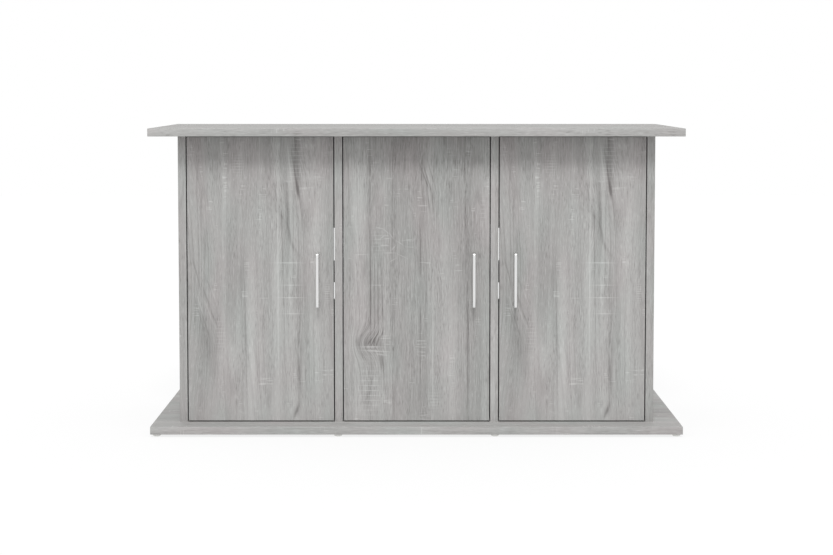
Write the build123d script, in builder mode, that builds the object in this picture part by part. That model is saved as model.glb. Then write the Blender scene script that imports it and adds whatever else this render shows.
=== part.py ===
"""Three-door stand cabinet for an aquarium, in 15 mm melamine-faced board.

A top board and an equal base board overhang a narrower carcass by 50 mm all round. Two side panels and
two partitions stand between them and make three equal bays, each with a shelf on four pins and an inset
door. Two back rails, one high and one low, leave a band open across the back for hoses and cables.

Frame: +X to the right seen from the front, +Y to the back, +Z up. The origin is on the floor, under the
middle of the cabinet. All sizes are in millimetres.
"""

import os

from build123d import *

os.makedirs("parts", exist_ok=True)

# ---- driving dimensions ---------------------------------------------------------------------------

STAND_WIDTH = 1010.0  # takes a tank of 1000 x 400 with a 5 mm border
STAND_DEPTH = 410.0
BOARDS_HEIGHT = 580.0  # underside of the base board to the top face
BOARD = 15.0  # thickness of every board
OVERHANG = 50.0  # of the top and base boards, on all four sides
FOOT_HEIGHT = 5.0
DOOR_GAP = 2.0  # round each door
RAIL_HEIGHT = 200.0  # of each back rail
SHELF_SETBACK = 23.0  # from the door faces to the shelf's front edge
EDGE_RADIUS = 0.8  # on the long edges of the boards
SCREW_FIT = 0.05  # radius by which a hole is larger than its screw or bolt
PASS_FIT = 0.1  # the same, where a screw only passes through

HANDLE_SPACING = 96.0  # between the two handle screws
HANDLE_FROM_EDGE = 30.0  # from the door's free edge to the handle's centre line
HINGE_FROM_END = 100.0  # from the carcass's ends to each hinge's centre

# ---- places worked out from them -------------------------------------------------------------------

BASE_TOP = FOOT_HEIGHT + BOARD
PANEL_HEIGHT = BOARDS_HEIGHT - 2 * BOARD
TOP_UNDERSIDE = BASE_TOP + PANEL_HEIGHT
CARCASS_WIDTH = STAND_WIDTH - 2 * OVERHANG
CARCASS_DEPTH = STAND_DEPTH - 2 * OVERHANG
FRONT = -CARCASS_DEPTH / 2  # the plane of the door faces and the panels' front edges
BACK = CARCASS_DEPTH / 2
RAIL_FRONT = BACK - BOARD
INNER_WIDTH = CARCASS_WIDTH - 2 * BOARD
BAY_WIDTH = (INNER_WIDTH - 2 * BOARD) / 3
MID_HEIGHT = BASE_TOP + PANEL_HEIGHT / 2

SIDE_X = (CARCASS_WIDTH - BOARD) / 2  # centre of a side panel
PARTITION_X = (BAY_WIDTH + BOARD) / 2  # centre of a partition
BAY_PITCH = BAY_WIDTH + BOARD
PARTITION_DEPTH = RAIL_FRONT - FRONT

DOOR_WIDTH = BAY_WIDTH - 2 * DOOR_GAP
DOOR_HEIGHT = PANEL_HEIGHT - 2 * DOOR_GAP
DOOR_BACK = FRONT + BOARD
HINGE_HEIGHTS = (BASE_TOP + HINGE_FROM_END, TOP_UNDERSIDE - HINGE_FROM_END)


def write(piece, name):
    """Labels a finished piece and writes its STEP file."""
    piece.part.label = name
    export_step(piece.part, f"parts/{name}.step")


# ---- board joints: cam locks, cam bolts and dowels -------------------------------------------------
# A cam joint's frame lies on the face that the cam is let into. Its Z leaves that face, and its -Y runs
# along the bolt to the end of the board and on into the board that it meets.

CAM_REACH = 34.0  # from the end of the board to the cam's centre
CAM_RADIUS = 7.4
CAM_BORE_RADIUS = 7.5
CAM_THICK = 12.0
BOLT_THREAD = 11.0  # length in the board it meets
DOWEL_RADIUS = 3.95
DOWEL_BORE_RADIUS = 4.0
DOWEL_IN_FACE = 10.0  # depth in the board that the panel stands on
DOWEL_IN_END = 20.0

CAM_ROWS = (-110.0, 95.0)  # places along Y of the two cams at each end of a panel
DOWEL_ROWS = (-60.0, 45.0)
RAIL_CAM_OFFSETS = (-60.0, 60.0)  # from a rail's middle height
RAIL_HEIGHTS = (BASE_TOP + RAIL_HEIGHT / 2, TOP_UNDERSIDE - RAIL_HEIGHT / 2)
RAIL_MIDDLE_Y = BACK - BOARD / 2

cam_frames = []
dowel_frames = []
for side in (-1, 1):
    # the side panels' inner faces, and the partitions' faces towards the outer bays
    for face_x, middle_x, normal in (
        (side * INNER_WIDTH / 2, side * SIDE_X, -side),
        (side * (PARTITION_X + BOARD / 2), side * PARTITION_X, side),
    ):
        for y in CAM_ROWS:
            cam_frames.append(
                Plane((face_x, y, BASE_TOP + CAM_REACH), x_dir=(0, normal, 0), z_dir=(normal, 0, 0))
            )
            cam_frames.append(
                Plane((face_x, y, TOP_UNDERSIDE - CAM_REACH), x_dir=(0, -normal, 0), z_dir=(normal, 0, 0))
            )
        for y in DOWEL_ROWS:
            dowel_frames.append(Plane((middle_x, y, BASE_TOP)))
            dowel_frames.append(Plane((middle_x, y, TOP_UNDERSIDE), z_dir=(0, 0, -1)))
    # the rails' front faces, next to the side panels
    for z in RAIL_HEIGHTS:
        end_x = side * INNER_WIDTH / 2
        for dz in RAIL_CAM_OFFSETS:
            cam_frames.append(
                Plane((end_x - side * CAM_REACH, RAIL_FRONT, z + dz), x_dir=(0, 0, side), z_dir=(0, -1, 0))
            )
        dowel_frames.append(Plane((end_x, RAIL_MIDDLE_Y, z), z_dir=(-side, 0, 0)))

# a cam's own slot and pocket hold the bolt's neck and head
CAM_ROOF = 3.6
NECK_START = -8.2
HEAD_START = -3.0
HEAD_END = 1.5
SLOT_WIDTH = 4.6
POCKET_WIDTH = 7.8
POCKET_ROOM = 0.4  # round the bolt's head, along the bolt
DRIVE_SLOT = (6.0, 1.2, 2.0)

with BuildPart() as cam_form:
    Cylinder(CAM_RADIUS, CAM_THICK, align=(Align.CENTER, Align.CENTER, Align.MAX))
    with Locations((0, 0, -CAM_THICK)):
        Box(
            SLOT_WIDTH, CAM_BORE_RADIUS, CAM_THICK - CAM_ROOF,
            align=(Align.CENTER, Align.MAX, Align.MIN), mode=Mode.SUBTRACT,
        )
    with Locations((0, HEAD_START - POCKET_ROOM, -CAM_THICK)):
        Box(
            POCKET_WIDTH, HEAD_END - HEAD_START + 2 * POCKET_ROOM, CAM_THICK - CAM_ROOF,
            align=(Align.CENTER, Align.MIN, Align.MIN), mode=Mode.SUBTRACT,
        )
    for turn in (0, 90):
        with Locations(Location((0, 0, 0), (0, 0, turn))):
            Box(*DRIVE_SLOT, align=(Align.CENTER, Align.CENTER, Align.MAX), mode=Mode.SUBTRACT)

BOLT_SHANK_RADIUS = 3.4
BOLT_NECK_RADIUS = 2.0
BOLT_HEAD_RADIUS = 3.5
BOLT_THREAD_RADIUS = 3.0
BOLT_TIP = 1.5  # length over which the thread starts
BOLT_TIP_RADIUS = 2.0
BOLT_HEAD_END_RADIUS = 2.0
BOLT_HEAD_SLOPE = 1.0

with BuildPart() as bolt_form:
    bolt_axis = Axis((0, 0, -BOARD / 2), (0, 1, 0))
    with BuildSketch(Plane((0, 0, -BOARD / 2), x_dir=(1, 0, 0), z_dir=(0, 0, 1))):
        with BuildLine():
            Polyline(
                (0, -CAM_REACH - BOLT_THREAD),
                (BOLT_TIP_RADIUS, -CAM_REACH - BOLT_THREAD),
                (BOLT_THREAD_RADIUS, -CAM_REACH - BOLT_THREAD + BOLT_TIP),
                (BOLT_THREAD_RADIUS, -CAM_REACH),
                (BOLT_SHANK_RADIUS, -CAM_REACH),
                (BOLT_SHANK_RADIUS, NECK_START),
                (BOLT_NECK_RADIUS, NECK_START),
                (BOLT_NECK_RADIUS, HEAD_START),
                (BOLT_HEAD_RADIUS, HEAD_START),
                (BOLT_HEAD_RADIUS, HEAD_END - BOLT_HEAD_SLOPE),
                (BOLT_HEAD_END_RADIUS, HEAD_END),
                (0, HEAD_END),
                close=True,
            )
        make_face()
    revolve(axis=bolt_axis)

DOWEL_END_ROOM = 0.2  # left at each end of its bore
DOWEL_CHAMFER = 0.8

with BuildPart() as dowel_form:
    with Locations((0, 0, -DOWEL_IN_FACE + DOWEL_END_ROOM)):
        Cylinder(
            DOWEL_RADIUS, DOWEL_IN_FACE + DOWEL_IN_END - 2 * DOWEL_END_ROOM,
            align=(Align.CENTER, Align.CENTER, Align.MIN),
        )
    chamfer(dowel_form.edges(), DOWEL_CHAMFER)

# what the drill takes out for one cam joint and for one dowel
CAM_BORE_DEPTH = CAM_THICK + 0.5
BOLT_BORE_REACH = CAM_REACH + BOLT_THREAD + 0.4

with BuildPart() as cam_cut:
    Cylinder(CAM_BORE_RADIUS, CAM_BORE_DEPTH, align=(Align.CENTER, Align.CENTER, Align.MAX))
    with Locations(Location((0, 0, -BOARD / 2), (90, 0, 0))):
        Cylinder(DOWEL_BORE_RADIUS, CAM_REACH, align=(Align.CENTER, Align.CENTER, Align.MIN))
        Cylinder(
            BOLT_THREAD_RADIUS + SCREW_FIT, BOLT_BORE_REACH,
            align=(Align.CENTER, Align.CENTER, Align.MIN),
        )

with BuildPart() as dowel_cut:
    with Locations((0, 0, -DOWEL_IN_FACE)):
        Cylinder(
            DOWEL_BORE_RADIUS, DOWEL_IN_FACE + DOWEL_IN_END,
            align=(Align.CENTER, Align.CENTER, Align.MIN),
        )

with BuildPart() as cam_locks:
    with Locations(*cam_frames):
        add(cam_form.part)

with BuildPart() as cam_bolts:
    with Locations(*cam_frames):
        add(bolt_form.part)

with BuildPart() as dowels:
    with Locations(*dowel_frames):
        add(dowel_form.part)

with BuildPart() as joint_cuts:
    with Locations(*cam_frames):
        add(cam_cut.part)
    with Locations(*dowel_frames):
        add(dowel_cut.part)

write(cam_locks, "cam_locks")
write(cam_bolts, "cam_bolts")
write(dowels, "dowels")

# ---- screws that hold the back rails to the partitions ---------------------------------------------

RAIL_SCREW_OFFSETS = (-60.0, 60.0)
RAIL_SCREW_LENGTH = 48.0
RAIL_SCREW_HEAD_RADIUS = 5.0
RAIL_SCREW_SHANK_RADIUS = 3.5
RAIL_SCREW_THREAD_RADIUS = 2.5
RAIL_SCREW_TIP = 3.0  # length of the point
RAIL_SCREW_RIM = 2.0  # height of the head's straight side
RAIL_SCREW_HEAD = 3.5  # height of the whole head
RAIL_SCREW_SOCKET_RADIUS = 2.3
RAIL_SCREW_SOCKET_DEPTH = 2.5

rail_screw_frames = [
    Plane((x, BACK, z + dz), x_dir=(1, 0, 0), z_dir=(0, 1, 0))
    for x in (-PARTITION_X, PARTITION_X)
    for z in RAIL_HEIGHTS
    for dz in RAIL_SCREW_OFFSETS
]


def rail_screw_profile(clearance):
    """Half section of a back rail screw, head at the top, as points from its tip to its head."""
    head = RAIL_SCREW_HEAD_RADIUS + clearance
    shank = RAIL_SCREW_SHANK_RADIUS + clearance
    thread = RAIL_SCREW_THREAD_RADIUS + clearance
    return [
        (0, -RAIL_SCREW_LENGTH - 4 * clearance),
        (thread, -RAIL_SCREW_LENGTH + RAIL_SCREW_TIP),
        (thread, -BOARD),
        (shank, -BOARD),
        (shank, -RAIL_SCREW_HEAD),
        (head, -RAIL_SCREW_RIM),
        (head, 0),
        (0, 0),
    ]


with BuildPart() as rail_screw_form:
    with BuildSketch(Plane.XZ):
        with BuildLine():
            Polyline(*rail_screw_profile(0.0), close=True)
        make_face()
    revolve(axis=Axis.Z)
    with BuildSketch(Plane.XY):
        RegularPolygon(RAIL_SCREW_SOCKET_RADIUS, 6)
    extrude(amount=-RAIL_SCREW_SOCKET_DEPTH, mode=Mode.SUBTRACT)

with BuildPart() as rail_screw_cut:
    with BuildSketch(Plane.XZ):
        with BuildLine():
            Polyline(*rail_screw_profile(SCREW_FIT), close=True)
        make_face()
    revolve(axis=Axis.Z)

with BuildPart() as back_rail_screws:
    with Locations(*rail_screw_frames):
        add(rail_screw_form.part)

with BuildPart() as rail_screw_cuts:
    with Locations(*rail_screw_frames):
        add(rail_screw_cut.part)

write(back_rail_screws, "back_rail_screws")

# ---- shelf pins ------------------------------------------------------------------------------------

PIN_RADIUS = 2.45
PIN_BORE_RADIUS = 2.5
PIN_IN_PANEL = 7.0
PIN_UNDER_SHELF = 8.0
PIN_END_ROOM = 0.2  # left at the end of its bore
PIN_CHAMFER = 0.5
PIN_ROWS = (-95.0, 95.0)
SHELF_UNDERSIDE = MID_HEIGHT - BOARD / 2
PIN_Z = SHELF_UNDERSIDE - PIN_RADIUS

# the frame's Z leaves the face that the pin is pushed into
pin_frames = []
for bay in (-1, 0, 1):
    for side in (-1, 1):
        face_x = bay * BAY_PITCH + side * BAY_WIDTH / 2
        for y in PIN_ROWS:
            pin_frames.append(Plane((face_x, y, PIN_Z), x_dir=(0, 0, 1), z_dir=(-side, 0, 0)))

with BuildPart() as pin_form:
    with Locations((0, 0, -PIN_IN_PANEL + PIN_END_ROOM)):
        Cylinder(
            PIN_RADIUS, PIN_IN_PANEL - PIN_END_ROOM + PIN_UNDER_SHELF,
            align=(Align.CENTER, Align.CENTER, Align.MIN),
        )
    chamfer(pin_form.edges(), PIN_CHAMFER)

with BuildPart() as shelf_pins:
    with Locations(*pin_frames):
        add(pin_form.part)

with BuildPart() as pin_cuts:
    with Locations(*pin_frames):
        Cylinder(PIN_BORE_RADIUS, 2 * PIN_IN_PANEL)

write(shelf_pins, "shelf_pins")

# ---- hinges ----------------------------------------------------------------------------------------
# Single-pivot cup hinges for an inset door. A hooked arm is screwed to a plate on the panel. Its eye
# turns on a pin that stands across the cup in the door. The hinge frame has X across the bay, away from
# the panel's face, Y to the back, away from the door's front face, and Z up through the hinge's middle.

CUP_RADIUS = 17.4
CUP_BORE_RADIUS = 17.5
CUP_BORE_DEPTH = 12.5
CUP_WALL = 0.8
CUP_FROM_EDGE = 5.0  # wood between the door's edge and the cup
CUP_X = DOOR_GAP + CUP_FROM_EDGE + CUP_BORE_RADIUS
CUP_FLOOR = BOARD - CUP_BORE_DEPTH + 0.1
FLANGE_THICK = 1.0
FLANGE_RADIUS = 18.5
CUP_SCREW_OFFSET = 6.0  # from the cup's centre, away from the door's edge
CUP_SCREW_SPACING = 48.0
CUP_SCREW_RADIUS = 1.75
CUP_SCREW_LENGTH = 11.5
CUP_SCREW_HEAD_RADIUS = 3.4
CUP_SCREW_HEAD = 1.8
CUP_SCREW_CROSS = (3.6, 0.8, 1.2)

HINGE_PIN_X = 14.0
HINGE_PIN_Y = 5.8
HINGE_PIN_RADIUS = 1.0
HINGE_PIN_LENGTH = 16.4
EYE_BORE_RADIUS = 1.05
EYE_RADIUS = 2.1
PIN_CHEEK_GAP = 12.8  # between the two cheeks in the cup that hold the pin
PIN_CHEEK_THICK = 1.2
PIN_CHEEK_LENGTH = 10.0
PIN_CHEEK_TOP = 9.2
PIN_CHEEK_FRONT = 3.5  # from the pin's middle to the cheek's edge, towards the door's edge
PIN_BORE_FIT = 0.02

ARM_THICK = 1.6
ARM_WIDTH = 12.0
ARM_KNEE_X = 31.5  # middle of the arm's leg that dips into the cup
ARM_KNEE_Y = (9.2, 26.5)  # where that leg starts and ends
ARM_SHOULDER_Y = 29.0
ARM_BEND = 2.6
ARM_SEAT_X = 8.0  # middle of the strap above the plate
ARM_END_Y = 66.0
ARM_CHEEK = 1.2
ARM_CHEEK_START_Y = 34.0
ARM_CHEEK_LOW_X = 2.4  # just clear of the plate's wings
ARM_SCREW_ROWS = (43.0, 58.0)
ARM_SCREW_RADIUS = 2.0
ARM_SCREW_HEAD_RADIUS = 3.6
ARM_SCREW_HEAD = 2.2
ARM_SCREW_LENGTH = 5.0  # below the middle of the strap
ARM_SCREW_CROSS = (4.2, 0.8, 1.2)  # one slot of the cross recess: length, width, depth

PLATE_MIDDLE_Y = 52.0  # the 37 mm system line behind a 15 mm door
PLATE_LENGTH = 34.0
PLATE_BLOCK_WIDTH = 11.0
PLATE_WING_THICK = 2.0
PLATE_WING_DEPTH = 11.0
PLATE_WING_SPAN = 46.0
PLATE_SCREW_SPACING = 32.0
PLATE_SCREW_RADIUS = 3.0
PLATE_SCREW_DEPTH = 12.0
PLATE_SCREW_TIP = 2.0
PLATE_SCREW_HEAD_RADIUS = 4.5
PLATE_SINK_RADIUS = 4.6
PLATE_SCREW_CROSS = (5.0, 0.9, 1.6)
PLATE_CORNER = 4.0
PLATE_TOP_X = ARM_SEAT_X - ARM_THICK / 2

with BuildPart() as arm_form:
    with BuildSketch(Plane.XY):
        with BuildLine() as arm_path:
            FilletPolyline(
                (HINGE_PIN_X, HINGE_PIN_Y),
                (ARM_KNEE_X, ARM_KNEE_Y[0]),
                (ARM_KNEE_X, ARM_KNEE_Y[1]),
                (ARM_SEAT_X, ARM_SHOULDER_Y),
                (ARM_SEAT_X, ARM_END_Y),
                radius=ARM_BEND,
            )
        trace(arm_path.line, ARM_THICK)
        with Locations((HINGE_PIN_X, HINGE_PIN_Y)):
            Circle(EYE_RADIUS)
            Circle(EYE_BORE_RADIUS, mode=Mode.SUBTRACT)
    extrude(amount=ARM_WIDTH / 2, both=True)
    # cheeks that fold down beside the plate's block
    with Locations(
        (ARM_CHEEK_LOW_X, ARM_END_Y, ARM_WIDTH / 2),
        (ARM_CHEEK_LOW_X, ARM_END_Y, -ARM_WIDTH / 2 - ARM_CHEEK),
    ):
        Box(
            ARM_SEAT_X + ARM_THICK / 2 - ARM_CHEEK_LOW_X, ARM_END_Y - ARM_CHEEK_START_Y, ARM_CHEEK,
            align=(Align.MIN, Align.MAX, Align.MIN),
        )
    with Locations(*[Location((ARM_SEAT_X, y, 0), (0, 90, 0)) for y in ARM_SCREW_ROWS]):
        Cylinder(ARM_SCREW_RADIUS + PASS_FIT, 4 * ARM_THICK, mode=Mode.SUBTRACT)

with BuildPart() as plate_form:
    with Locations((0, PLATE_MIDDLE_Y, 0)):
        Box(
            PLATE_TOP_X, PLATE_LENGTH, PLATE_BLOCK_WIDTH,
            align=(Align.MIN, Align.CENTER, Align.CENTER),
        )
        Box(
            PLATE_WING_THICK, PLATE_WING_DEPTH, PLATE_WING_SPAN,
            align=(Align.MIN, Align.CENTER, Align.CENTER),
        )
    fillet(
        plate_form.edges().filter_by(Axis.X).group_by(Axis.Z)[0]
        + plate_form.edges().filter_by(Axis.X).group_by(Axis.Z)[-1],
        PLATE_CORNER,
    )
    with Locations(
        *[
            Location((PLATE_WING_THICK, PLATE_MIDDLE_Y, side * PLATE_SCREW_SPACING / 2), (0, 90, 0))
            for side in (-1, 1)
        ]
    ):
        CounterSinkHole(PLATE_SCREW_RADIUS + PASS_FIT, PLATE_SINK_RADIUS, counter_sink_angle=90)
    with Locations(*[Location((PLATE_TOP_X, y, 0), (0, 90, 0)) for y in ARM_SCREW_ROWS]):
        Hole(ARM_SCREW_RADIUS + SCREW_FIT, depth=ARM_SCREW_LENGTH)

with BuildPart() as plate_screw_form:
    with BuildSketch(Plane.XZ):
        with BuildLine():
            Polyline(
                (0, PLATE_WING_THICK),
                (PLATE_SCREW_HEAD_RADIUS, PLATE_WING_THICK),
                (PLATE_SCREW_RADIUS, PLATE_WING_THICK - PLATE_SCREW_HEAD_RADIUS + PLATE_SCREW_RADIUS),
                (PLATE_SCREW_RADIUS, -PLATE_SCREW_DEPTH + PLATE_SCREW_TIP),
                (0, -PLATE_SCREW_DEPTH),
                close=True,
            )
        make_face()
    revolve(axis=Axis.Z)
    for turn in (0, 90):
        with Locations(Location((0, 0, PLATE_WING_THICK), (0, 0, turn))):
            Box(*PLATE_SCREW_CROSS, align=(Align.CENTER, Align.CENTER, Align.MAX), mode=Mode.SUBTRACT)

with BuildPart() as arm_screw_form:
    with Locations((0, 0, ARM_THICK / 2)):
        Cylinder(
            ARM_SCREW_HEAD_RADIUS, ARM_SCREW_HEAD, align=(Align.CENTER, Align.CENTER, Align.MIN)
        )
    fillet(arm_screw_form.faces().sort_by(Axis.Z)[-1].edges(), 0.8)
    with Locations((0, 0, -ARM_SCREW_LENGTH)):
        Cylinder(
            ARM_SCREW_RADIUS, ARM_SCREW_LENGTH + ARM_THICK / 2,
            align=(Align.CENTER, Align.CENTER, Align.MIN),
        )
    for turn in (0, 90):
        with Locations(Location((0, 0, ARM_THICK / 2 + ARM_SCREW_HEAD), (0, 0, turn))):
            Box(*ARM_SCREW_CROSS, align=(Align.CENTER, Align.CENTER, Align.MAX), mode=Mode.SUBTRACT)

# the cup, its flange with two ears, and the bore for the pin
EAR_X = CUP_X + CUP_SCREW_OFFSET
EAR_RADIUS = 6.5
with BuildPart() as cup_form:
    with BuildSketch(Plane((CUP_X, CUP_FLOOR, 0), x_dir=(1, 0, 0), z_dir=(0, 1, 0))):
        Circle(CUP_RADIUS)
    extrude(amount=BOARD - CUP_FLOOR)
    with BuildSketch(Plane((0, BOARD, 0), x_dir=(1, 0, 0), z_dir=(0, 1, 0))):
        with Locations((CUP_X, 0)):
            Circle(FLANGE_RADIUS)
        with BuildSketch(mode=Mode.PRIVATE) as ears:
            with Locations((EAR_X, -CUP_SCREW_SPACING / 2), (EAR_X, CUP_SCREW_SPACING / 2)):
                Circle(EAR_RADIUS)
            with Locations((EAR_X, 0)):
                Rectangle(2 * EAR_RADIUS, CUP_SCREW_SPACING)
        add(ears.sketch)
    extrude(amount=FLANGE_THICK)
    with BuildSketch(Plane((CUP_X, CUP_FLOOR + CUP_WALL, 0), x_dir=(1, 0, 0), z_dir=(0, 1, 0))):
        Circle(CUP_RADIUS - CUP_WALL)
    extrude(amount=BOARD, mode=Mode.SUBTRACT)
    with Locations(
        *[
            Location((EAR_X, BOARD + FLANGE_THICK, side * CUP_SCREW_SPACING / 2), (-90, 0, 0))
            for side in (-1, 1)
        ]
    ):
        Hole(CUP_SCREW_RADIUS + PASS_FIT, depth=2 * FLANGE_THICK)
    for cheek_z in (PIN_CHEEK_GAP / 2, -PIN_CHEEK_GAP / 2 - PIN_CHEEK_THICK):
        with Locations((HINGE_PIN_X - PIN_CHEEK_FRONT, CUP_FLOOR, cheek_z)):
            Box(
                PIN_CHEEK_LENGTH, PIN_CHEEK_TOP - CUP_FLOOR, PIN_CHEEK_THICK,
                align=(Align.MIN, Align.MIN, Align.MIN),
            )
    with Locations((HINGE_PIN_X, HINGE_PIN_Y, 0)):
        Cylinder(HINGE_PIN_RADIUS + PIN_BORE_FIT, HINGE_PIN_LENGTH, mode=Mode.SUBTRACT)

with BuildPart() as cup_cut:
    with BuildSketch(Plane((CUP_X, BOARD, 0), x_dir=(1, 0, 0), z_dir=(0, 1, 0))):
        Circle(CUP_BORE_RADIUS)
    extrude(amount=-CUP_BORE_DEPTH)
    with Locations(
        *[
            Location((EAR_X, BOARD, side * CUP_SCREW_SPACING / 2), (90, 0, 0))
            for side in (-1, 1)
        ]
    ):
        Cylinder(
            CUP_SCREW_RADIUS + SCREW_FIT, CUP_BORE_DEPTH,
            align=(Align.CENTER, Align.CENTER, Align.MIN),
        )

with BuildPart() as cup_screw_form:
    Cylinder(CUP_SCREW_RADIUS, CUP_SCREW_LENGTH, align=(Align.CENTER, Align.CENTER, Align.MAX))
    with Locations((0, 0, FLANGE_THICK)):
        Cylinder(CUP_SCREW_RADIUS, FLANGE_THICK, align=(Align.CENTER, Align.CENTER, Align.MAX))
        Cylinder(
            CUP_SCREW_HEAD_RADIUS, CUP_SCREW_HEAD, align=(Align.CENTER, Align.CENTER, Align.MIN)
        )
    fillet(cup_screw_form.faces().sort_by(Axis.Z)[-1].edges(), 1.0)
    for turn in (0, 90):
        with Locations(Location((0, 0, FLANGE_THICK + CUP_SCREW_HEAD), (0, 0, turn))):
            Box(*CUP_SCREW_CROSS, align=(Align.CENTER, Align.CENTER, Align.MAX), mode=Mode.SUBTRACT)

with BuildPart() as cup_screws_form:
    with Locations(
        *[
            Location((EAR_X, BOARD, side * CUP_SCREW_SPACING / 2), (-90, 0, 0))
            for side in (-1, 1)
        ]
    ):
        add(cup_screw_form.part)

with BuildPart() as hinge_pin_form:
    with Locations((HINGE_PIN_X, HINGE_PIN_Y, 0)):
        Cylinder(HINGE_PIN_RADIUS, HINGE_PIN_LENGTH)

# leaf spring on the cup's floor, which pulls the door shut over its last few degrees
SPRING_WIDTH = 9.0
SPRING_START_X = 20.0
SPRING_END_X = 38.5
SPRING_RISE = 0.9
with BuildPart() as spring_form:
    with BuildSketch(Plane.XY):
        with BuildLine():
            ThreePointArc(
                (SPRING_START_X, CUP_FLOOR + CUP_WALL),
                ((SPRING_START_X + SPRING_END_X) / 2, CUP_FLOOR + CUP_WALL + SPRING_RISE),
                (SPRING_END_X, CUP_FLOOR + CUP_WALL),
            )
            Line(
                (SPRING_END_X, CUP_FLOOR + CUP_WALL),
                (SPRING_START_X, CUP_FLOOR + CUP_WALL),
            )
        make_face()
    extrude(amount=SPRING_WIDTH / 2, both=True)

with BuildPart() as plate_screw_cut:
    with Locations(
        *[
            Location((0, PLATE_MIDDLE_Y, side * PLATE_SCREW_SPACING / 2), (0, -90, 0))
            for side in (-1, 1)
        ]
    ):
        Cylinder(
            PLATE_SCREW_RADIUS + SCREW_FIT, PLATE_SCREW_DEPTH + 0.3,
            align=(Align.CENTER, Align.CENTER, Align.MIN),
        )

with BuildPart() as plate_screws_form:
    with Locations(
        *[
            Location((0, PLATE_MIDDLE_Y, side * PLATE_SCREW_SPACING / 2), (0, 90, 0))
            for side in (-1, 1)
        ]
    ):
        add(plate_screw_form.part)

with BuildPart() as arm_screws_form:
    with Locations(*[Location((ARM_SEAT_X, y, 0), (0, 90, 0)) for y in ARM_SCREW_ROWS]):
        add(arm_screw_form.part)


# ---- where the doors hang ---------------------------------------------------------------------------


class DoorPlace:
    """One door: the bay it closes, and the side that its hinges are on (-1 left, 1 right)."""

    def __init__(self, name, bay, hinge_side):
        self.name = name
        self.hinge_side = hinge_side
        self.centre_x = bay * BAY_PITCH
        self.hinge_face_x = self.centre_x + hinge_side * BAY_WIDTH / 2
        self.handle_x = self.centre_x - hinge_side * (DOOR_WIDTH / 2 - HANDLE_FROM_EDGE)
        self.hinge_frames = [Location((self.hinge_face_x, FRONT, z)) for z in HINGE_HEIGHTS]

    def hand(self, form):
        """A hinge piece, made for a door hung on the left, turned to this door's hand."""
        return form.part if self.hinge_side < 0 else mirror(form.part, about=Plane.YZ, mode=Mode.PRIVATE)


DOORS = (DoorPlace("left", -1, -1), DoorPlace("middle", 0, -1), DoorPlace("right", 1, 1))


def all_hinges(form):
    """One copy of a hinge piece at every hinge on the carcass."""
    with BuildPart() as group:
        for door in DOORS:
            with Locations(*door.hinge_frames):
                add(door.hand(form))
    return group


plate_screw_cuts = all_hinges(plate_screw_cut)

write(all_hinges(plate_form), "hinge_plates")
write(all_hinges(plate_screws_form), "hinge_plate_screws")
write(all_hinges(arm_form), "hinge_arms")
write(all_hinges(arm_screws_form), "hinge_arm_screws")

# ---- feet ------------------------------------------------------------------------------------------

FOOT_TOP_RADIUS = 8.0
FOOT_BOTTOM_RADIUS = 6.0
FOOT_FROM_SIDE = 11.0
FOOT_FROM_FRONT = 13.0
FOOT_STEM_RADIUS = 2.0
FOOT_STEM = 9.0
FOOT_RIM_HEIGHT = 1.5  # straight part of the foot's side
FOOT_EASE = 1.0
FOOT_STEM_TIP = 2.0

FOOT_PLACES = [
    (x, y)
    for x in (
        -STAND_WIDTH / 2 + FOOT_FROM_SIDE,
        -PARTITION_X,
        PARTITION_X,
        STAND_WIDTH / 2 - FOOT_FROM_SIDE,
    )
    for y in (-STAND_DEPTH / 2 + FOOT_FROM_FRONT, STAND_DEPTH / 2 - FOOT_FROM_FRONT)
]

with BuildPart() as foot_form:
    with BuildSketch(Plane.XZ):
        with BuildLine():
            Polyline(
                (0, 0),
                (FOOT_BOTTOM_RADIUS, 0),
                (FOOT_TOP_RADIUS, FOOT_HEIGHT - FOOT_RIM_HEIGHT),
                (FOOT_TOP_RADIUS, FOOT_HEIGHT),
                (FOOT_STEM_RADIUS, FOOT_HEIGHT),
                (FOOT_STEM_RADIUS, FOOT_HEIGHT + FOOT_STEM - FOOT_STEM_TIP),
                (0.5, FOOT_HEIGHT + FOOT_STEM),
                (0, FOOT_HEIGHT + FOOT_STEM),
                close=True,
            )
        make_face()
    revolve(axis=Axis.Z)
    fillet(foot_form.faces().sort_by(Axis.Z)[0].edges(), FOOT_EASE)

with BuildPart() as feet:
    with Locations(*FOOT_PLACES):
        add(foot_form.part)

write(feet, "feet")

# ---- boards ----------------------------------------------------------------------------------------

with BuildPart() as top_board:
    with Locations((0, 0, TOP_UNDERSIDE)):
        Box(STAND_WIDTH, STAND_DEPTH, BOARD, align=(Align.CENTER, Align.CENTER, Align.MIN))
    fillet(top_board.edges(), EDGE_RADIUS)
    add(joint_cuts.part, mode=Mode.SUBTRACT)

with BuildPart() as base_board:
    with Locations((0, 0, FOOT_HEIGHT)):
        Box(STAND_WIDTH, STAND_DEPTH, BOARD, align=(Align.CENTER, Align.CENTER, Align.MIN))
    fillet(base_board.edges(), EDGE_RADIUS)
    add(joint_cuts.part, mode=Mode.SUBTRACT)
    with BuildSketch(Plane.XY.offset(FOOT_HEIGHT)):
        with Locations(*FOOT_PLACES):
            Circle(FOOT_STEM_RADIUS + SCREW_FIT)
    extrude(amount=FOOT_STEM + 0.5, mode=Mode.SUBTRACT)

write(top_board, "top_board")
write(base_board, "base_board")


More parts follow.
